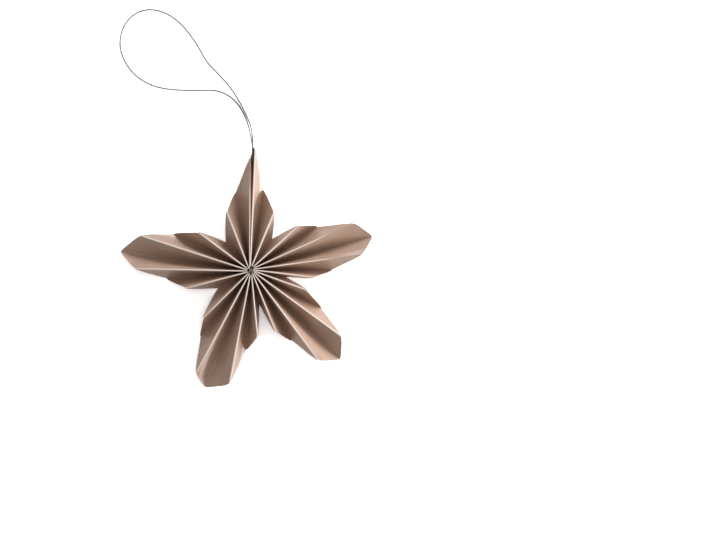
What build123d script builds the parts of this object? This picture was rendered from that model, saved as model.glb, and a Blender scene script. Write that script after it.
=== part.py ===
from build123d import *
from dataclasses import dataclass
import math
import os

# A hanging star folded from one strip of paper, with a thin metallic cord for a loop.
# The strip is pleated with parallel folds, closed into a ring and pressed flat, so that
# every fold runs out of the hub like a spoke. Folds that stand up are ridges, folds that
# lie down are valleys, and the strip's outer edge is cut so that the ring has five arms.
#
# Units are millimetres. The star lies on its back: Z is 0 on the surface under it and +Z
# points out of its face. The origin is the centre of the hub, on the back. +Y points along
# the arm in which the two ends of the strip are glued together.

# Paper
PAPER_THICKNESS = 0.12
PLEAT_DEPTH = 10.0

# Outline, as distances from the hub's centre to the end of each kind of fold
GAP_VALLEY_REACH = 18.5
SHORT_RIDGE_REACH = 32.0
MIDDLE_VALLEY_REACH = 40.5
LONG_RIDGE_REACH = 56.5

# Each fold is pressed to a narrow flat, whose full width grows to this at the long ridges' ends.
FOLD_FLAT_WIDTH = 0.7

# The pleats open as they leave the hub, so a ridge comes down towards the end of its arm.
# These are heights at the distance of the long ridges' ends, and each arm gives those of its
# own two long ridges.
SHORT_RIDGE_END_HEIGHT = 5.5
SEAM_SHORT_RIDGE_END_HEIGHT = 8.5
SEAM_MIDDLE_VALLEY_END_HEIGHT = 4.5

# Seam: the strip's two end panels stand face to face and are glued up to this height. The
# ridge after the seam runs out further than the one before it.
GLUE_HEIGHT = 3.5
GLUED_FOLD_REACH = 59.1
SEAM_LONGER_RIDGE_REACH = 60.9

# A panel stands upright at the hub and slopes at the rim. Paper doesn't stretch, so it turns
# in slight bends. Each fold has this many spans, with a bend at each end of a span.
SPANS_PER_FOLD = 8

# Hub: the folds are packed there side by side, evenly, and leave a small hole. The pack is
# turned by some degrees against the arms. The first two are shares of the paper's thickness.
HUB_FLAT_HALF_SHARE = 1.2
HUB_FOLD_PITCH_SHARE = 1.55
HUB_TURN = -23.0

# Hand folding leaves no two arms alike. Each arm's folds are given in order, as directions
# in degrees clockwise from +Y: the valley of the gap before the arm, a short ridge, the
# middle valley, a long ridge, the valley of the arm's tip, and the same back on its far
# side. The end heights of the two long ridges and the tip's reach come after them. Where the
# valleys beside a ridge stand further apart, the ridge is lower.
ARMS = [
    ((-41.8, -22.5, -11.5, -0.5, 1.4, 2.0, 8.5, 21.5), (9.5, 9.5), 61.6),
    ((33.4, 46.7, 56.4, 65.2, 74.2, 81.8, 89.6, 96.3), (4.9, 6.7), 62.7),
    ((100.8, 109.5, 118.1, 126.1, 134.9, 143.1, 150.0, 158.0), (5.4, 6.8), 62.6),
    ((166.8, 174.4, 183.8, 190.9, 201.5, 208.2, 217.5, 225.1), (4.7, 6.1), 62.5),
    ((242.1, 254.7, 264.5, 270.9, 278.3, 287.5, 295.2, 305.9), (7.2, 5.3), 65.9),
]
FOLDS_PER_ARM = 8
TIP_FOLD = FOLDS_PER_ARM // 2

# Cord: one loop, whose two ends lie one above the other in the seam's slot.
# Its section has eight sides, which is as good as round on so thin a cord.
CORD_DIAMETER = 0.7
CORD_SIDES = 8
CORD_FLOOR = CORD_DIAMETER / 2
CORD_ARC_SHARE = 0.45
CORD_LOWER_HEIGHT = 6.9
CORD_UPPER_HEIGHT = 7.9
CORD_ROUTE = [
    # lower end, out of the slot and down to the surface
    (0.95, 52.8, CORD_LOWER_HEIGHT),
    (1.02, 57.5, CORD_LOWER_HEIGHT),
    (1.0, 62.0, 6.1),
    (0.75, 66.5, 3.8),
    (0.15, 70.8, 1.35),
    (-1.45, 75.8, CORD_FLOOR),
    # right side of the loop, away from the star
    (-5.05, 83.2, CORD_FLOOR),
    (-9.85, 91.0, CORD_FLOOR),
    (-16.05, 98.0, CORD_FLOOR),
    (-22.35, 104.2, CORD_FLOOR),
    (-26.85, 112.8, CORD_FLOOR),
    (-33.65, 122.2, CORD_FLOOR),
    (-41.85, 128.8, CORD_FLOOR),
    # round the far end
    (-50.85, 131.0, CORD_FLOOR),
    (-59.05, 128.4, CORD_FLOOR),
    (-64.45, 121.4, CORD_FLOOR),
    (-66.05, 112.6, CORD_FLOOR),
    (-63.25, 103.8, CORD_FLOOR),
    (-56.65, 96.0, CORD_FLOOR),
    # left side of the loop, back to the star
    (-47.05, 91.4, CORD_FLOOR),
    (-36.85, 90.2, CORD_FLOOR),
    (-26.65, 89.9, CORD_FLOOR),
    (-17.65, 90.3, CORD_FLOOR),
    (-11.05, 87.6, CORD_FLOOR),
    (-6.35, 83.0, CORD_FLOOR),
    (-3.05, 77.2, CORD_FLOOR),
    # up into the slot, above the lower end
    (-1.45, 72.6, 1.3),
    (-0.3, 68.3, 3.9),
    (0.45, 63.9, 6.6),
    (0.87, 59.4, CORD_UPPER_HEIGHT),
    (0.87, 54.6, CORD_UPPER_HEIGHT),
]


@dataclass
class Fold:
    """One crease of the strip, straight as seen from above, from the hub to the outline."""

    start: Vector
    end: Vector
    is_ridge: bool
    is_seam: bool
    hub_height: float
    end_height: float

    def place(self, share):
        """The point at a share of the fold's length, on the surface under the star."""
        return self.start + (self.end - self.start) * share

    def height(self, point):
        """The height of the fold's outer face, as far from the hub as the point is."""
        openness = (point.X**2 + point.Y**2) / LONG_RIDGE_REACH**2
        return self.hub_height + (self.end_height - self.hub_height) * openness

    def flat_half_width(self, point):
        """Half the width of the pressed flat on the outside of the fold."""
        hub_half = HUB_FLAT_HALF_SHARE * PAPER_THICKNESS
        if self.is_seam:
            return hub_half
        openness = (point.length - hub_radius()) / (LONG_RIDGE_REACH - hub_radius())
        return hub_half + (FOLD_FLAT_WIDTH / 2 - hub_half) * openness

    def inner_half_width(self, point, neighbour):
        """Half the flat inside the fold, which keeps the panel beside it one paper thick."""
        along = (neighbour.end - neighbour.start).normalized()
        run = (point - neighbour.start).cross(along).length
        rise = abs(self.height(point) - neighbour.height(point))
        slope = math.atan2(rise, run)
        return self.flat_half_width(point) - PAPER_THICKNESS * math.tan(slope / 2)


@dataclass
class Rung:
    """The four corners of a fold's cross-section: before and after it, outside and inside."""

    outer_before: Vector
    outer_after: Vector
    inner_before: Vector
    inner_after: Vector


def hub_radius():
    """The radius at which all folds stand side by side at their pitch."""
    pitch = HUB_FOLD_PITCH_SHARE * PAPER_THICKNESS
    return pitch * FOLDS_PER_ARM * len(ARMS) / (2 * math.pi)


def spoke(direction, reach):
    """A point at a distance from the hub, in a direction clockwise from +Y."""
    angle = math.radians(direction)
    return Vector(reach * math.sin(angle), reach * math.cos(angle), 0)


def make_folds():
    """Every fold in order round the star, from the gap before the seam's arm."""
    side_reaches = [
        GAP_VALLEY_REACH,
        SHORT_RIDGE_REACH,
        MIDDLE_VALLEY_REACH,
        LONG_RIDGE_REACH,
    ]
    hub_step = 360 / (FOLDS_PER_ARM * len(ARMS))
    folds = []
    for arm, (directions, (before_tip, after_tip), tip_reach) in enumerate(ARMS):
        has_seam = arm == 0
        short = SEAM_SHORT_RIDGE_END_HEIGHT if has_seam else SHORT_RIDGE_END_HEIGHT
        middle = SEAM_MIDDLE_VALLEY_END_HEIGHT if has_seam else 0.0
        reaches = side_reaches + [tip_reach] + side_reaches[:0:-1]
        hub_heights = [0.0, PLEAT_DEPTH] * TIP_FOLD
        end_heights = [0.0, short, middle, before_tip, 0.0, after_tip, middle, short]
        if has_seam:
            reaches[TIP_FOLD] = GLUED_FOLD_REACH
            reaches[TIP_FOLD + 1] = SEAM_LONGER_RIDGE_REACH
            hub_heights[TIP_FOLD] = GLUE_HEIGHT
            end_heights[TIP_FOLD] = GLUE_HEIGHT
        for step, direction in enumerate(directions):
            hub_direction = HUB_TURN + hub_step * (len(folds) - TIP_FOLD)
            folds.append(
                Fold(
                    spoke(hub_direction, hub_radius()),
                    spoke(direction, reaches[step]),
                    step % 2 == 1,
                    has_seam and step == TIP_FOLD,
                    hub_heights[step],
                    end_heights[step],
                )
            )
    return folds


def make_rungs(before, fold, after):
    """The fold's cross-sections from the hub to the outline, all square to the fold."""
    along = (fold.end - fold.start).normalized()
    across = Vector(along.Y, -along.X, 0)
    up = Vector(0, 0, 1)
    inward = -PAPER_THICKNESS if fold.is_ridge else PAPER_THICKNESS
    rungs = []
    for bend in range(SPANS_PER_FOLD + 1):
        point = fold.place(bend / SPANS_PER_FOLD)
        outer = point + up * fold.height(point)
        inner = outer + up * inward
        half = fold.flat_half_width(point)
        rungs.append(
            Rung(
                outer - across * half,
                outer + across * half,
                inner - across * fold.inner_half_width(point, before),
                inner + across * fold.inner_half_width(point, after),
            )
        )
    return rungs


def flat(*corners):
    """The plane face with these corners."""
    return Face(Wire.make_polygon(corners, close=True))


def bent(ridge_near, ridge_far, valley_far, valley_near):
    """Two flat triangles that meet in a slight bend, from a ridge down and outwards."""
    return [
        flat(ridge_near, ridge_far, valley_far),
        flat(ridge_near, valley_far, valley_near),
    ]


def fold_faces(near, far):
    """The pressed flats outside and inside a fold, from one rung to the next."""
    return [
        flat(near.outer_before, near.outer_after, far.outer_after, far.outer_before),
        flat(near.inner_before, near.inner_after, far.inner_after, far.inner_before),
    ]


def seam_faces(near, far, near_foot, far_foot):
    """The glued panels under the seam's slot: two walls, their foot and the slot's floor."""
    return [
        flat(near.outer_before, far.outer_before, far_foot[0], near_foot[0]),
        flat(near.outer_after, far.outer_after, far_foot[1], near_foot[1]),
        flat(near_foot[0], near_foot[1], far_foot[1], far_foot[0]),
        flat(near.inner_before, near.inner_after, far.inner_after, far.inner_before),
    ]


def make_seam_feet(rungs):
    """The two lower corners of the glued panels at each rung, which reach out to the tip."""
    tip_reach = ARMS[0][2]
    stretch = tip_reach / GLUED_FOLD_REACH
    feet = []
    for rung in rungs:
        middle = (rung.outer_before + rung.outer_after) * 0.5
        foot = Vector(middle.X, middle.Y, 0) * stretch
        half = (rung.outer_after - rung.outer_before) * 0.5
        feet.append((foot - half, foot + half))
    return feet


def end_faces(rungs, next_rungs):
    """The cut edges of a fold and of the panel after it, at the hub and at the outline."""
    faces = []
    for own, after in ((rungs[0], next_rungs[0]), (rungs[-1], next_rungs[-1])):
        faces.append(
            flat(own.outer_before, own.outer_after, own.inner_after, own.inner_before)
        )
        one_side = own.outer_after, after.inner_before
        other_side = own.inner_after, after.outer_before
        faces.append(flat(one_side[0], one_side[1], other_side[1]))
        faces.append(flat(one_side[0], other_side[1], other_side[0]))
    return faces


def panel_faces(rungs, next_rungs, own_is_ridge):
    """Both faces of the panel from one fold to the next, bent a little at every rung."""
    faces = []
    for span in range(SPANS_PER_FOLD):
        near, far = rungs[span], rungs[span + 1]
        next_near, next_far = next_rungs[span], next_rungs[span + 1]
        sides = [
            (near.outer_after, far.outer_after, next_far.inner_before, next_near.inner_before),
            (near.inner_after, far.inner_after, next_far.outer_before, next_near.outer_before),
        ]
        for own_near, own_far, after_far, after_near in sides:
            if own_is_ridge:
                faces += bent(own_near, own_far, after_far, after_near)
            else:
                faces += bent(after_near, after_far, own_far, own_near)
    return faces


def make_star():
    """The pleated strip: a closed skin of flat faces over every fold and panel."""
    folds = make_folds()
    rungs = [
        make_rungs(folds[index - 1], fold, folds[(index + 1) % len(folds)])
        for index, fold in enumerate(folds)
    ]
    faces = []
    for index, fold in enumerate(folds):
        own = rungs[index]
        after = rungs[(index + 1) % len(folds)]
        faces += panel_faces(own, after, fold.is_ridge)
        faces += end_faces(own, after)
        if fold.is_seam:
            feet = make_seam_feet(own)
            for near, far, near_foot, far_foot in zip(own, own[1:], feet, feet[1:]):
                faces += seam_faces(near, far, near_foot, far_foot)
            for rung, foot in ((own[0], feet[0]), (own[-1], feet[-1])):
                faces.append(flat(rung.outer_before, rung.outer_after, foot[1], foot[0]))
        else:
            for near, far in zip(own, own[1:]):
                faces += fold_faces(near, far)
    return Solid(Shell(faces))


def cord_radii(points):
    """The largest arc that the two runs at each corner allow."""
    radii = []
    for before, corner, after in zip(points, points[1:], points[2:]):
        run_in = corner - before
        run_out = after - corner
        turn = math.radians(run_in.get_angle(run_out))
        shorter = min(run_in.length, run_out.length)
        radii.append(CORD_ARC_SHARE * shorter / math.tan(turn / 2))
    return radii


def make_cord():
    """The loop as a tube along straight runs joined by tangent arcs."""
    points = [Vector(*point) for point in CORD_ROUTE]
    radii = cord_radii(points)
    print("cord radii, mm:", ", ".join(f"{radius:.1f}" for radius in radii))
    path = FilletPolyline(*points, radius=radii)
    outline = RegularPolygon(CORD_DIAMETER / 2, CORD_SIDES)
    cord = sweep(Plane(path @ 0, z_dir=path % 0) * outline, path=path)
    print(f"cord length {path.length:.1f} mm, volume {cord.volume:.2f} mm3")
    print(f"section times length {outline.area * path.length:.2f} mm3")
    return cord


os.makedirs("parts", exist_ok=True)
export_step(make_star(), "parts/pleated_star.step")
export_step(make_cord(), "parts/hanging_cord.step")
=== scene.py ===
import math

import bpy
import numpy as np
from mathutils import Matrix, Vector, noise


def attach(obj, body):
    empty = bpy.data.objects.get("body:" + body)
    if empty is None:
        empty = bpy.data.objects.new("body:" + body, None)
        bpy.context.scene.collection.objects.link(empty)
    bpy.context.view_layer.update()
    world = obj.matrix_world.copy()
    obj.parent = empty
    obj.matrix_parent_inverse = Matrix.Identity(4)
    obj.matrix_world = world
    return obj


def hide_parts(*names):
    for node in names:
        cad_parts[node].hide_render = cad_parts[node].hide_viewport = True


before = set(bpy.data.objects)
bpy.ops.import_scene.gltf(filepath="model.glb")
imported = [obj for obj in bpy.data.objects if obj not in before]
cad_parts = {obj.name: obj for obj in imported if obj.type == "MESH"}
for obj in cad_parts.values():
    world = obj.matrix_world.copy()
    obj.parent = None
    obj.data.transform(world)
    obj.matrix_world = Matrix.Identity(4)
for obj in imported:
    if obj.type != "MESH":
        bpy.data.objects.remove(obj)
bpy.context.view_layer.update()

# Looks for a hanging star of pleated paper and its metallic cord. The star is made the way
# the real one is: a flat strip of paper is gridded, pleated along its folds, drawn into a
# ring round the hub, glued at its ends and given its thickness.
#
# Lengths are metres. MM and DEG turn sizes in millimetres and degrees into metres and radians.
MM = 0.001
DEG = math.radians(1)

# Paper
PAPER_THICKNESS = 0.12 * MM
PLEAT_DEPTH = 10.0 * MM

# Folds, in order round the ring from one side of the seam to the other: direction in degrees
# clockwise from +Y, then reach and the height of the fold's end in millimetres. The first is
# a ridge, and ridges and valleys take turns.
FOLDS = [
    # First arm, from the seam on
    (2.0, 60.9, 9.5),
    (8.5, 40.5, 4.5),
    (21.5, 31.0, 8.5),
    (33.4, 18.9, 0.0),
    # Second arm
    (46.7, 32.1, 5.5),
    (56.4, 39.6, 0.0),
    (65.2, 55.9, 4.9),
    (74.2, 62.7, 0.0),
    (81.8, 55.5, 6.7),
    (89.6, 40.3, 0.0),
    (96.3, 31.2, 5.5),
    (100.8, 17.8, 0.0),
    # Third arm
    (109.5, 29.2, 5.5),
    (118.1, 39.7, 0.0),
    (126.1, 55.4, 5.4),
    (134.9, 62.6, 0.0),
    (143.1, 55.5, 6.8),
    (150.0, 40.3, 0.0),
    (158.0, 32.4, 5.5),
    (166.8, 17.4, 0.0),
    # Fourth arm
    (174.4, 32.8, 5.5),
    (183.8, 39.6, 0.0),
    (190.9, 57.3, 4.7),
    (201.5, 62.5, 0.0),
    (208.2, 57.6, 6.1),
    (217.5, 41.6, 0.0),
    (225.1, 33.0, 5.5),
    (242.1, 18.8, 0.0),
    # Fifth arm
    (254.7, 32.9, 5.5),
    (264.5, 42.3, 0.0),
    (270.9, 57.4, 7.2),
    (278.3, 65.9, 0.0),
    (287.5, 57.6, 5.3),
    (295.2, 42.8, 0.0),
    (305.9, 32.0, 5.5),
    (318.2, 19.0, 0.0),
    # First arm again, up to the seam
    (337.5, 30.8, 8.5),
    (348.5, 39.4, 4.5),
    (359.5, 55.6, 9.5),
]
PANELS = len(FOLDS) + 1
LAST_RIDGE = len(FOLDS)

# A ridge comes down on its way out, with this power of the share of the way to this distance.
RIDGE_FALL_REACH = 56.5 * MM
RIDGE_FALL_POWER = 2

# Seam: the strip's two ends, face to face. They are given as a fold is.
SEAM = (1.4, 61.6, 0.0)
GLUED_SPACING = 0.18 * MM

# The end panels are glued up to this height where the cord's ends lie between them, and
# higher nearer the hub. Each row is a distance from the hub and the height there.
GLUE_HEIGHT = 3.5 * MM
GLUE_LINE = [
    (0.0, 9.6 * MM),
    (22 * MM, 9.2 * MM),
    (34 * MM, 8.3 * MM),
    (47 * MM, 5.8 * MM),
    (51 * MM, GLUE_HEIGHT),
    (70 * MM, GLUE_HEIGHT),
]

# Hub: the folds are packed side by side round a small hole, and the pack is turned by some
# degrees against the arms. The ridges start unevenly, further out by this length times the
# size of a noise value, which is read in steps along a row.
HUB_FOLD_PITCH = 0.186 * MM
HUB_RADIUS = HUB_FOLD_PITCH * PANELS / (2 * math.pi)
HUB_TURN = -23.0
HUB_UNEVENNESS = 2.2 * MM
HUB_NOISE_STEP = 1.37
HUB_NOISE_ROW = 0.5

# Pressed folds: half the width of the flat on a fold, at the hub and at the rim. It grows
# with this power of the way out.
FLAT_HALF_AT_HUB = 0.09 * MM
FLAT_HALF_AT_RIM = 0.33 * MM
FLAT_GROWTH = 0.5

# A ridge's flat is wider than a valley's near the hub. Half of it is at most this share of the
# folds' spacing there. The last ridge before the seam has a valley's flat.
RIDGE_FLAT_HALF_AT_HUB = 0.2 * MM
RIDGE_FLAT_SHARE = 0.45

# Rounding beside the flat: how far it runs into a panel beside a ridge, and the share of the
# panel that it takes beside a valley.
RIDGE_ROLL_AT_HUB = 0.2 * MM
RIDGE_ROLL_AT_RIM = 0.5 * MM
VALLEY_ROLL_SHARE_AT_HUB = 0.04
VALLEY_ROLL_SHARE_AT_RIM = 0.5

# Worn skin and painted highlight: half the width of the pale strip on a fold, at the hub and
# at the rim. Pressing has broken the dyed skin there, and the paleness also stands in for the
# light that the rounded crest catches, so it is partly a painted highlight. It is never more
# than this share of the distance from the hub.
WEAR_AND_HIGHLIGHT_HALF_AT_HUB = 0.34 * MM
WEAR_AND_HIGHLIGHT_HALF_AT_RIM = 0.54 * MM
WEAR_AND_HIGHLIGHT_SHARE = 0.09

# Ridges that were pressed less towards the rim, by their number in FOLDS. Their flats are
# narrower there, and their pale strip of worn skin and painted highlight fades out, with this
# power of the way out.
LIGHT_RIDGES = (7, 9, 39)
LIGHT_FLAT_HALF_AT_RIM = 0.14 * MM
WEAR_AND_HIGHLIGHT_FADE_AT_RIM = 2.5
WEAR_AND_HIGHLIGHT_FADE_POWER = 4

# Panels: the sheet bows a little, and its outline swells between two folds, by millimetres
# that fade towards the hub with this power. The eight swells are for the panels from a long
# ridge over the gap between two arms to the next arm's tip and long ridge. The first panel
# after the seam is cut hollow.
PANEL_BOW = 0.2 * MM
SWELLS = [0.4, 0.8, 1.0, 1.0, 0.8, 0.4, 0.9, 0.9]
FIRST_SWELL = -0.4
SWELL_POWER = 3

# Hand folding: how far the sheet may lie off its ideal place at the rim, and the distance
# over which that changes.
UNEVENNESS = 0.24 * MM
UNEVENNESS_LENGTH = 14 * MM

# Grid of the strip: columns for the rounding beside each fold and for the flat between, and
# rows from the hub to the outline. It is this wide and high before it is pleated.
ARC_COLUMNS = 4
FLAT_COLUMNS = 8
COLUMNS = ARC_COLUMNS + FLAT_COLUMNS + ARC_COLUMNS
ROWS = 48
GRID_SIZE = 1.0
PAPER_SMOOTH_ANGLE = 50 * DEG

# The cord's route in millimetres. Where it lies on the surface, this is its height.
CORD_FLOOR = 0.35
CORD_ROUTE = [
    # Lower end, out of the slot and down to the surface
    (0.95, 52.8, 6.9),
    (1.02, 57.5, 6.9),
    (1.0, 62.0, 6.1),
    (0.75, 66.5, 3.8),
    (0.15, 70.8, 1.35),
    (-1.45, 75.8, CORD_FLOOR),
    # Right side of the loop, away from the star
    (-5.05, 83.2, CORD_FLOOR),
    (-9.85, 91.0, CORD_FLOOR),
    (-16.05, 98.0, CORD_FLOOR),
    (-22.35, 104.2, CORD_FLOOR),
    (-26.85, 112.8, CORD_FLOOR),
    (-33.65, 122.2, CORD_FLOOR),
    (-41.85, 128.8, CORD_FLOOR),
    # Round the far end
    (-50.85, 131.0, CORD_FLOOR),
    (-59.05, 128.4, CORD_FLOOR),
    (-64.45, 121.4, CORD_FLOOR),
    (-66.05, 112.6, CORD_FLOOR),
    (-63.25, 103.8, CORD_FLOOR),
    (-56.65, 96.0, CORD_FLOOR),
    # Left side of the loop, back to the star
    (-47.05, 91.4, CORD_FLOOR),
    (-36.85, 90.2, CORD_FLOOR),
    (-26.65, 89.9, CORD_FLOOR),
    (-17.65, 90.3, CORD_FLOOR),
    (-11.05, 87.6, CORD_FLOOR),
    (-6.35, 83.0, CORD_FLOOR),
    (-3.05, 77.2, CORD_FLOOR),
    # Up into the slot, above the lower end
    (-1.45, 72.6, 1.3),
    (-0.3, 68.3, 3.9),
    (0.45, 63.9, 6.6),
    (0.87, 59.4, 7.9),
    (0.87, 54.6, 7.9),
]
ROUTE_STEPS = 30

# Strands, twisted round the route once in each twist's length
STRANDS = 3
STRAND_RADIUS = 0.2 * MM
STRAND_OFFSET = 0.15 * MM
STRAND_SIDES = 8
TWIST_LENGTH = 3.6 * MM
CORD_SMOOTH_ANGLE = 60 * DEG

# Finish of the paper. Fibres lie along the strip, about 2 mm long and 0.3 mm wide, and the
# dye lies in faint clouds about 9 mm across.
FIBRES_PER_METRE = (500, 3000, 1)
CLOUDS_PER_METRE = 110
FIBRE_COLOURS = [(0.3, "#9B7D69"), (0.7, "#B49480")]
CLOUD_COLOURS = [(0.35, "#A1816C"), (0.65, "#B08F7A")]

# The pale strip on a fold, broken skin and a painted highlight on the crest, is full up to
# the first of these distances from the fold and gone at the second, in half widths of the
# strip. The fibres make its edge ragged.
WEAR_AND_HIGHLIGHT_COLOUR = "#F1E0D4"
WEAR_AND_HIGHLIGHT_AMOUNT = 0.95
WEAR_AND_HIGHLIGHT_FULL_TO = 0.6
WEAR_AND_HIGHLIGHT_GONE_AT = 1.5
RAGGEDNESS = 0.5

# Finish of the cord. The film is wound in turns this wide, bright and dull by turns. The wave
# texture needs this scale to make one wave of two turns.
FILM_TURN = 0.25 * MM
FILM_WAVE_SCALE = 0.32
FILM_COLOURS = [(0.2, "#555452"), (0.8, "#817F7C")]

# View: straight down, with the picture's width and centre on the floor.
PICTURE_WIDTH = 358 * MM
PICTURE_CENTRE = (53.35 * MM, 0.25 * MM)
LENS = 200
SENSOR_WIDTH = 36

# Light: two low softboxes, one near +Y and one near +X, and an even surround. A softbox is
# given by its direction, as for the folds, its elevation in degrees, its height in metres and
# its watts.
SOFTBOXES = [(24, 16, 0.3, 8.5), (98, 5, 0.16, 13.0)]
SOFTBOX_DISTANCE = 1.0
SOFTBOX_WIDTH = 0.7
SOFTBOX_COLOUR = "#F8FBFF"
SURROUND_COLOUR = "#FFFFFF"
SURROUND_STRENGTH = 0.53

# Floor: pale grey in the light that it throws on the star. The camera and reflections see it
# brighter than that, so that it looks white where no shadow falls.
FLOOR_SIZE = 6.0
FLOOR_COLOUR = "#E6E6E6"
FLOOR_SEEN = 2.5
FLOOR_REFLECTED = 1.5


def linear(code):
    """A colour written as sRGB hex, as the linear values that shaders take."""
    parts = [int(code[i : i + 2], 16) / 255 for i in (1, 3, 5)]
    return [p / 12.92 if p <= 0.04045 else ((p + 0.055) / 1.055) ** 2.4 for p in parts] + [1.0]


def grey(level):
    """A grey of this linear level, which may be brighter than white."""
    return [level, level, level, 1.0]


def add_node(tree, kind, inputs=None, **settings):
    """Adds a node, sets it up, and fills its inputs with values or with links."""
    node = tree.nodes.new("ShaderNode" + kind)
    for name, value in settings.items():
        setattr(node, name, value)
    for name, value in (inputs or {}).items():
        if isinstance(value, bpy.types.NodeSocket):
            tree.links.new(value, node.inputs[name])
        else:
            node.inputs[name].default_value = value
    return node


def new_material(name):
    """An empty material with its node tree and its output."""
    material = bpy.data.materials.new(name)
    material.use_nodes = True
    tree = material.node_tree
    tree.nodes.clear()
    return material, tree, tree.nodes.new("ShaderNodeOutputMaterial")


def colour_ramp(tree, factor, stops):
    """A colour ramp between two stops, each given as (place, colour)."""
    ramp = add_node(tree, "ValToRGB", {"Fac": factor})
    elements = ramp.color_ramp.elements
    for element, (place, colour) in zip(elements, stops):
        element.position = place
        element.color = linear(colour)
    return ramp.outputs["Color"]


def mix_colours(tree, factor, first, second):
    """Two colours mixed by a factor. The node's sockets share names, so numbers name them."""
    sockets = {0: factor, 6: first, 7: second}
    return add_node(tree, "Mix", sockets, data_type="RGBA").outputs[2]


def craft_paper():
    """Dyed craft paper, calendered but uncoated: smooth with a soft sheen and a faint fibre,
    and paler along the folds, where pressing has broken its dyed skin and where a highlight
    on the crests is painted in."""
    material, tree, output = new_material("dyed_craft_paper")
    strip = add_node(tree, "UVMap", uv_map="strip").outputs["UV"]
    along = add_node(tree, "Mapping", {"Vector": strip, "Scale": FIBRES_PER_METRE})
    fibres = add_node(
        tree, "TexNoise", {"Vector": along.outputs[0], "Scale": 1.0, "Detail": 4.0}
    )
    clouds = add_node(
        tree, "TexNoise", {"Vector": strip, "Scale": CLOUDS_PER_METRE, "Detail": 2.0}
    )
    fibre_tone = colour_ramp(tree, fibres.outputs[0], FIBRE_COLOURS)
    cloud_tone = colour_ramp(tree, clouds.outputs[0], CLOUD_COLOURS)
    dyed = mix_colours(tree, 0.5, fibre_tone, cloud_tone)
    distance = add_node(tree, "Attribute", attribute_name="from_crest").outputs["Fac"]
    ragged = add_node(
        tree,
        "Math",
        {0: fibres.outputs[0], 1: RAGGEDNESS, 2: distance},
        operation="MULTIPLY_ADD",
    )
    # Pale strip along each fold: partly broken skin, partly a painted highlight on the crest.
    wear_and_highlight = add_node(
        tree,
        "MapRange",
        {
            "Value": ragged.outputs[0],
            "From Min": WEAR_AND_HIGHLIGHT_FULL_TO,
            "From Max": WEAR_AND_HIGHLIGHT_GONE_AT,
            "To Min": WEAR_AND_HIGHLIGHT_AMOUNT,
            "To Max": 0.0,
        },
        interpolation_type="SMOOTHSTEP",
    )
    # Mixes in the pale strip of broken skin and painted highlight.
    colour = mix_colours(tree, wear_and_highlight.outputs[0], dyed, linear(WEAR_AND_HIGHLIGHT_COLOUR))
    bump = add_node(
        tree,
        "Bump",
        {"Height": fibres.outputs[0], "Strength": 0.25, "Distance": 0.05 * MM},
    )
    shader = add_node(
        tree,
        "BsdfPrincipled",
        {
            "Base Color": colour,
            "Roughness": 0.42,
            "IOR": 1.5,
            "Specular IOR Level": 1.0,
            "Normal": bump.outputs[0],
        },
    )
    tree.links.new(shader.outputs[0], output.inputs["Surface"])
    return material


def metallic_thread():
    """Metallised film wound on a core: dark silver, with fine bright and dull windings that
    run at a slant round each strand."""
    material, tree, output = new_material("metallised_thread")
    winding = add_node(tree, "UVMap", uv_map="winding").outputs["UV"]
    slant = add_node(tree, "Mapping", {"Vector": winding, "Scale": (1.0, 1 / FILM_TURN, 1)})
    turns = add_node(
        tree,
        "TexWave",
        {"Vector": slant.outputs[0], "Scale": FILM_WAVE_SCALE, "Distortion": 0.6},
        bands_direction="DIAGONAL",
    )
    colour = colour_ramp(tree, turns.outputs[0], FILM_COLOURS)
    bump = add_node(
        tree,
        "Bump",
        {"Height": turns.outputs[0], "Strength": 0.4, "Distance": 0.03 * MM},
    )
    shader = add_node(
        tree,
        "BsdfPrincipled",
        {
            "Base Color": colour,
            "Metallic": 0.5,
            "Roughness": 0.38,
            "Normal": bump.outputs[0],
        },
    )
    tree.links.new(shader.outputs[0], output.inputs["Surface"])
    return material


def deselect_all():
    """Leaves edit mode and deselects every object."""
    if bpy.context.object and bpy.context.object.mode != "OBJECT":
        bpy.ops.object.mode_set(mode="OBJECT")
    bpy.ops.object.select_all(action="DESELECT")


def spoke(direction, reach, height=0.0):
    """A point at a distance from the hub, in a direction in degrees clockwise from +Y."""
    return np.array(
        [reach * math.sin(direction * DEG), reach * math.cos(direction * DEG), height]
    )


def way_out(point):
    """How far out a point lies, from 0 at the hub to 1 where the long ridges end."""
    return math.hypot(point[0], point[1]) / RIDGE_FALL_REACH


def hump(share):
    """A curve from 0 up to 1 at the middle and down to 0."""
    return 4 * share * (1 - share)


def hub_shift(index):
    """How much further out than the hub's hole a ridge starts."""
    return HUB_UNEVENNESS * abs(noise.noise(Vector((index * HUB_NOISE_STEP, HUB_NOISE_ROW, 0))))


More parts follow.
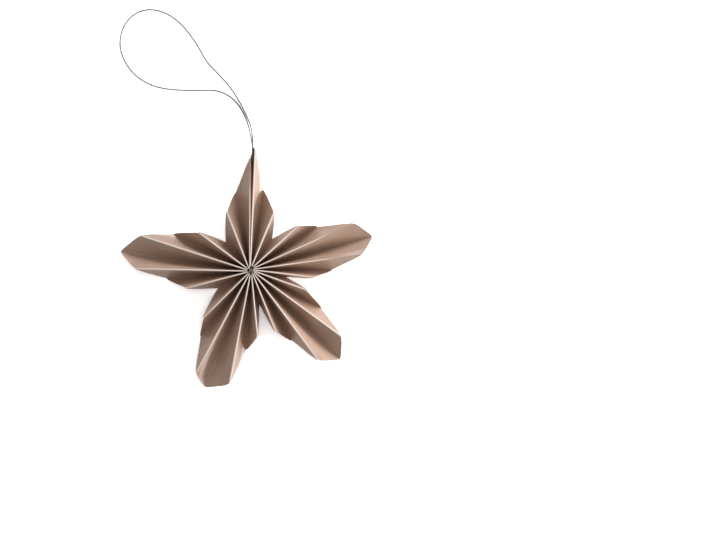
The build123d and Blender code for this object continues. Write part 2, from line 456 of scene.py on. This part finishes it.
class Crease:
    """A fold, or an end of the strip, as rows of points from the hub to the outline."""

    def __init__(self, index):
        is_end = index in (0, PANELS)
        self.is_ridge = index % 2 == 1
        hub_direction = HUB_TURN if is_end else HUB_TURN + 360 / PANELS * index
        direction, reach, end_height = SEAM if is_end else FOLDS[index - 1]
        start = spoke(hub_direction, HUB_RADIUS)
        end = spoke(direction, reach * MM)
        along = (end - start) / np.linalg.norm(end - start)
        if self.is_ridge and index != LAST_RIDGE:
            start = start + along * hub_shift(index)
        shares = np.linspace(0, 1, ROWS + 1)[:, None]
        self.centre = start + (end - start) * shares
        self.across = np.array([along[1], -along[0], 0.0])
        distance = np.linalg.norm(self.centre, axis=1)
        opened = (distance - HUB_RADIUS) / (RIDGE_FALL_REACH - HUB_RADIUS)
        self.openness = np.maximum(opened, 0)[:, None]
        if is_end:
            side = 1 if index == 0 else -1
            self.centre += self.across * side * GLUED_SPACING / 2
        else:
            self.centre[:, 2] = self.heights(distance, end_height * MM)
        at_rim = LIGHT_FLAT_HALF_AT_RIM if index in LIGHT_RIDGES else FLAT_HALF_AT_RIM
        self.half = self.flat_half(FLAT_HALF_AT_HUB, at_rim)
        if self.is_ridge and index != LAST_RIDGE:
            spacing = 2 * math.pi / PANELS * distance[:, None]
            wider = self.flat_half(RIDGE_FLAT_HALF_AT_HUB, at_rim)
            self.half = np.minimum(wider, RIDGE_FLAT_SHARE * spacing)

    def heights(self, distance, end_height):
        """Heights of the sheet's middle along the fold, half a thickness inside its crest."""
        hub_height = PLEAT_DEPTH if self.is_ridge else 0.0
        inward = -1 if self.is_ridge else 1
        fall = (distance / RIDGE_FALL_REACH) ** RIDGE_FALL_POWER
        return hub_height + (end_height - hub_height) * fall + inward * PAPER_THICKNESS / 2

    def flat_half(self, at_hub, at_rim):
        """Half the width of the pressed flat along the fold."""
        return at_hub + (at_rim - at_hub) * self.openness**FLAT_GROWTH

    def roll(self, width=0.0):
        """How far the rounding beside the fold runs into a panel of this width."""
        if self.is_ridge:
            return RIDGE_ROLL_AT_HUB + (RIDGE_ROLL_AT_RIM - RIDGE_ROLL_AT_HUB) * self.openness
        share = VALLEY_ROLL_SHARE_AT_HUB
        share = share + (VALLEY_ROLL_SHARE_AT_RIM - share) * self.openness
        return share * width


def arc(start, corner, end, share):
    """A point of the curve from start to end that is drawn towards the corner."""
    return start * (1 - share) ** 2 + corner * 2 * share * (1 - share) + end * share**2


def panel_columns(before, after):
    """The columns of a panel between two folds, with the rounding beside each."""
    near = before.centre + before.across * before.half
    far = after.centre - after.across * after.half
    width = np.linalg.norm(far - near, axis=1)[:, None]
    run = (far - near) / width
    near_end = near + run * before.roll(width)
    far_end = far - run * after.roll(width)
    upright = np.cross(before.centre[-1] - before.centre[0], run)
    upright /= np.linalg.norm(upright, axis=1)[:, None]
    upright *= np.sign(upright[:, 2:])
    columns = [arc(before.centre, near, near_end, i / ARC_COLUMNS) for i in range(ARC_COLUMNS)]
    for column in range(FLAT_COLUMNS + 1):
        share = column / FLAT_COLUMNS
        bow = PANEL_BOW * before.openness * hump(share) ** 2
        columns.append(near_end + (far_end - near_end) * share + upright * bow)
    for column in range(1, ARC_COLUMNS):
        columns.append(arc(far_end, far, after.centre, column / ARC_COLUMNS))
    return columns


def glued_columns(ridge, foot, side):
    """The columns of an end panel, from its ridge down into the slot and to its foot."""
    edge = ridge.centre + ridge.across * ridge.half * side
    slot = foot.centre.copy()
    distance = np.linalg.norm(ridge.centre[:, :2], axis=1)
    slot[:, 2] = np.interp(distance, *zip(*GLUE_LINE))
    run = (slot - edge) / np.linalg.norm(slot - edge, axis=1)[:, None]
    wall = edge + run * ridge.roll()
    columns = [arc(ridge.centre, edge, wall, i / ARC_COLUMNS) for i in range(ARC_COLUMNS)]
    columns += [wall + (slot - wall) * i / FLAT_COLUMNS for i in range(FLAT_COLUMNS)]
    columns += [slot + (foot.centre - slot) * i / ARC_COLUMNS for i in range(ARC_COLUMNS + 1)]
    return columns


def strip_columns():
    """Every column of the strip, from its first end round the ring to its last."""
    creases = [Crease(index) for index in range(PANELS + 1)]
    first_panel = glued_columns(creases[1], creases[0], -1)
    # It runs from its foot up, and its ridge's own column belongs to the next panel.
    columns = first_panel[:0:-1]
    for before, after in zip(creases[1:-2], creases[2:-1]):
        columns += panel_columns(before, after)
    columns += glued_columns(creases[-2], creases[-1], 1)
    return np.array(columns)


def swell(columns):
    """Pushes the outline out between folds, less and less towards the hub."""
    outward = columns[:, -1] - columns[:, -2]
    outward /= np.linalg.norm(outward, axis=1)[:, None]
    height = np.zeros(len(columns))
    place = np.arange(COLUMNS) / COLUMNS
    for panel in range(PANELS - 2):
        own = FIRST_SWELL if panel == 0 else SWELLS[panel % len(SWELLS)]
        first = (panel + 1) * COLUMNS
        height[first : first + COLUMNS] = own * MM * hump(place)
    shares = np.linspace(0, 1, ROWS + 1)[None, :, None]
    return columns + outward[:, None] * height[:, None, None] * shares**SWELL_POWER


def wear_and_highlight_half(point):
    """Half the width of the pale strip on a fold, broken skin and painted highlight, as far
    from the hub as the point is.
    """
    half = WEAR_AND_HIGHLIGHT_HALF_AT_HUB + (WEAR_AND_HIGHLIGHT_HALF_AT_RIM - WEAR_AND_HIGHLIGHT_HALF_AT_HUB) * way_out(point)
    return min(half, WEAR_AND_HIGHLIGHT_SHARE * math.hypot(point[0], point[1]))


def wear_and_highlight_fade(fold, point):
    """How far a lightly pressed ridge's pale strip, broken skin and painted highlight, fades,
    from nothing at the hub on.
    """
    return WEAR_AND_HIGHLIGHT_FADE_AT_RIM * way_out(point) ** WEAR_AND_HIGHLIGHT_FADE_POWER if fold in LIGHT_RIDGES else 0.0


def unevenness(point):
    """How far a hand-folded sheet lies off its ideal place."""
    return noise.noise(Vector(point) / UNEVENNESS_LENGTH) * UNEVENNESS * way_out(point)


def nearest_ridge(column):
    """The ridge that a column of the strip is nearest to."""
    return min(column // (2 * COLUMNS) * 2 + 1, LAST_RIDGE)


def nearest_valley(column):
    """The valley that a column of the strip is nearest to."""
    return min(max(round(column / (2 * COLUMNS)) * 2, 2), LAST_RIDGE - 1)


def pleat_paper(paper):
    """Moves each point of the flat strip to its place on the folded star, and writes down how
    far it is from its ridge and its valley, in half widths of the pale strip of broken skin
    and painted highlight."""
    columns = swell(strip_columns())
    points = []
    from_ridge = []
    from_valley = []
    strip = []
    for vertex in paper.data.vertices:
        column = round((vertex.co.x / GRID_SIZE + 0.5) * PANELS * COLUMNS)
        row = round((vertex.co.y / GRID_SIZE + 0.5) * ROWS)
        point = columns[column, row]
        lifted = max(point[2] + unevenness(point), PAPER_THICKNESS / 2)
        points.append((point[0], point[1], lifted))
        nearest = ((nearest_ridge(column), from_ridge), (nearest_valley(column), from_valley))
        for fold, distances in nearest:
            away = np.linalg.norm(point - columns[fold * COLUMNS, row])
            # Distances in half widths of the pale strip: broken skin and painted highlight.
            distances.append(float(away / wear_and_highlight_half(point)) + wear_and_highlight_fade(fold, point))
        strip.append((column / COLUMNS * PLEAT_DEPTH, float(np.linalg.norm(point[:2]))))
    for vertex, point in zip(paper.data.vertices, points):
        vertex.co = point
    for name, distances in (("from_crest", from_ridge), ("from_valley", from_valley)):
        attribute = paper.data.attributes.new(name, "FLOAT", "POINT")
        attribute.data.foreach_set("value", distances)
    layer = paper.data.uv_layers.active
    layer.name = "strip"
    for loop in paper.data.loops:
        layer.data[loop.index].uv = strip[loop.vertex_index]


def wear_and_highlight_back(paper):
    """Behind the sheet the valleys are the crests, so the pale strip of broken skin and painted
    highlight lies there instead.
    """
    mesh = paper.data
    half = len(mesh.vertices) // 2
    heights = np.array([vertex.co.z for vertex in mesh.vertices])
    first_is_lower = heights[:half].mean() < heights[half:].mean()
    back = slice(0, half) if first_is_lower else slice(half, None)
    wear_and_highlight = np.empty(len(heights))
    behind = np.empty(len(heights))
    mesh.attributes["from_crest"].data.foreach_get("value", wear_and_highlight)
    mesh.attributes["from_valley"].data.foreach_get("value", behind)
    wear_and_highlight[back] = behind[back]
    mesh.attributes["from_crest"].data.foreach_set("value", wear_and_highlight)
    mesh.attributes.remove(mesh.attributes["from_valley"])


def make_star():
    """The paper: a gridded strip, pleated into the star and given its thickness."""
    deselect_all()
    bpy.ops.mesh.primitive_grid_add(
        x_subdivisions=PANELS * COLUMNS, y_subdivisions=ROWS, size=GRID_SIZE
    )
    paper = bpy.context.object
    paper.name = "folded_paper_star"
    pleat_paper(paper)
    solidify = paper.modifiers.new("thickness", "SOLIDIFY")
    solidify.thickness = PAPER_THICKNESS
    solidify.offset = 0
    bpy.ops.object.modifier_apply(modifier="thickness")
    wear_and_highlight_back(paper)
    bpy.ops.object.mode_set(mode="EDIT")
    bpy.ops.mesh.select_all(action="SELECT")
    bpy.ops.mesh.normals_make_consistent(inside=False)
    bpy.ops.object.mode_set(mode="OBJECT")
    bpy.ops.object.shade_smooth_by_angle(angle=PAPER_SMOOTH_ANGLE)
    paper.data.materials.append(craft_paper())
    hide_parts("pleated_star")
    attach(paper, "root")


def route_points():
    """The cord's centreline, read from a smooth spline through its route."""
    curve = bpy.data.curves.new("cord_route", "CURVE")
    curve.dimensions = "3D"
    curve.resolution_u = ROUTE_STEPS
    spline = curve.splines.new("NURBS")
    spline.points.add(len(CORD_ROUTE) - 1)
    for point, place in zip(spline.points, CORD_ROUTE):
        point.co = [coordinate * MM for coordinate in place] + [1.0]
    spline.order_u = 3
    spline.use_endpoint_u = True
    carrier = bpy.data.objects.new("cord_route", curve)
    mesh = bpy.data.meshes.new_from_object(carrier)
    points = [vertex.co.copy() for vertex in mesh.vertices]
    bpy.data.meshes.remove(mesh)
    bpy.data.objects.remove(carrier)
    bpy.data.curves.remove(curve)
    return points


def carried_frames(points):
    """Two directions square to the line at each point, carried along it without turning."""
    side = Vector((0, 0, 1))
    frames = []
    for index in range(len(points)):
        behind = points[max(index - 1, 0)]
        ahead = points[min(index + 1, len(points) - 1)]
        along = (ahead - behind).normalized()
        side = (side - along * side.dot(along)).normalized()
        frames.append((side, along.cross(side)))
    return frames


def strand_rings(strand, points):
    """A strand's rings of points, and the place of each on its winding: share of the way
    round, and metres along."""
    travelled = 0.0
    vertices = []
    windings = []
    for index, (point, (side, other)) in enumerate(zip(points, carried_frames(points))):
        if index:
            travelled += (point - points[index - 1]).length
        turn = 2 * math.pi * (travelled / TWIST_LENGTH + strand / STRANDS)
        middle = point + (side * math.cos(turn) + other * math.sin(turn)) * STRAND_OFFSET
        for corner in range(STRAND_SIDES):
            angle = turn + 2 * math.pi * corner / STRAND_SIDES
            spread = side * math.cos(angle) + other * math.sin(angle)
            vertices.append(middle + spread * STRAND_RADIUS)
            windings.append((corner / STRAND_SIDES, travelled))
    return vertices, windings


def strand_faces(first, rings):
    """A strand's faces: its side between each two rings, and a cap on each end."""
    faces = []
    for ring in range(first, first + (rings - 1) * STRAND_SIDES, STRAND_SIDES):
        for corner in range(STRAND_SIDES):
            after = (corner + 1) % STRAND_SIDES
            near = (ring + corner, ring + after)
            far = (ring + STRAND_SIDES + after, ring + STRAND_SIDES + corner)
            faces.append(near + far)
    last = first + (rings - 1) * STRAND_SIDES
    faces.append([first + corner for corner in reversed(range(STRAND_SIDES))])
    faces.append([last + corner for corner in range(STRAND_SIDES)])
    return faces


def make_cord():
    """The loop: three strands twisted round its centreline."""
    points = route_points()
    vertices = []
    faces = []
    windings = []
    for strand in range(STRANDS):
        faces += strand_faces(len(vertices), len(points))
        own_vertices, own_windings = strand_rings(strand, points)
        vertices += own_vertices
        windings += own_windings
    mesh = bpy.data.meshes.new("twisted_metallic_cord")
    mesh.from_pydata(vertices, [], faces)
    layer = mesh.uv_layers.new(name="winding")
    for loop in mesh.loops:
        layer.data[loop.index].uv = windings[loop.vertex_index]
    cord = bpy.data.objects.new("twisted_metallic_cord", mesh)
    bpy.context.scene.collection.objects.link(cord)
    deselect_all()
    cord.select_set(True)
    bpy.context.view_layer.objects.active = cord
    bpy.ops.object.shade_smooth_by_angle(angle=CORD_SMOOTH_ANGLE)
    mesh.materials.append(metallic_thread())
    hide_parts("hanging_cord")
    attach(cord, "root")


def make_floor():
    """A plain floor that is seen as white where the light reaches it, and keeps the shadow."""
    deselect_all()
    bpy.ops.mesh.primitive_plane_add(size=FLOOR_SIZE, location=(0, 0, 0))
    floor = bpy.context.object
    floor.name = "floor"
    material, tree, output = new_material("pale_floor")
    path = tree.nodes.new("ShaderNodeLightPath")
    reflected = add_node(
        tree,
        "Math",
        {0: path.outputs["Is Glossy Ray"], 1: path.outputs["Is Transmission Ray"]},
        operation="MAXIMUM",
    )
    colour = mix_colours(tree, reflected.outputs[0], linear(FLOOR_COLOUR), grey(FLOOR_REFLECTED))
    colour = mix_colours(tree, path.outputs["Is Camera Ray"], colour, grey(FLOOR_SEEN))
    paint = add_node(tree, "BsdfDiffuse", {"Color": colour})
    tree.links.new(paint.outputs[0], output.inputs["Surface"])
    floor.data.materials.append(material)


def make_softbox(direction, elevation, height, watts):
    """A low softbox that faces the star from one direction."""
    place = Vector(spoke(direction, 1.0, math.tan(elevation * DEG)))
    place = place.normalized() * SOFTBOX_DISTANCE
    deselect_all()
    bpy.ops.object.light_add(type="AREA", location=place)
    lamp = bpy.context.object
    lamp.name = f"softbox_{direction}"
    lamp.data.shape = "RECTANGLE"
    lamp.data.size = SOFTBOX_WIDTH
    lamp.data.size_y = height
    lamp.data.energy = watts
    lamp.data.color = linear(SOFTBOX_COLOUR)[:3]
    lamp.rotation_euler = (-place).to_track_quat("-Z", "Y").to_euler()


def make_surround():
    """An even white surround, as pale walls give."""
    world = bpy.data.worlds.new("surround")
    world.use_nodes = True
    tree = world.node_tree
    tree.nodes.clear()
    output = tree.nodes.new("ShaderNodeOutputWorld")
    even = add_node(
        tree,
        "Background",
        {"Color": linear(SURROUND_COLOUR), "Strength": SURROUND_STRENGTH},
    )
    tree.links.new(even.outputs[0], output.inputs["Surface"])
    bpy.context.scene.world = world


def make_camera():
    """A long lens straight above, framed on the picture's width and centre."""
    distance = PICTURE_WIDTH * LENS / SENSOR_WIDTH
    deselect_all()
    bpy.ops.object.camera_add(location=(*PICTURE_CENTRE, distance), rotation=(0, 0, 0))
    camera = bpy.context.object
    camera.name = "camera"
    camera.data.lens = LENS
    camera.data.sensor_width = SENSOR_WIDTH
    bpy.context.scene.camera = camera


make_camera()
make_cord()
make_star()
make_floor()
for softbox in SOFTBOXES:
    make_softbox(*softbox)
make_surround()
bpy.context.scene.view_settings.view_transform = "Standard"
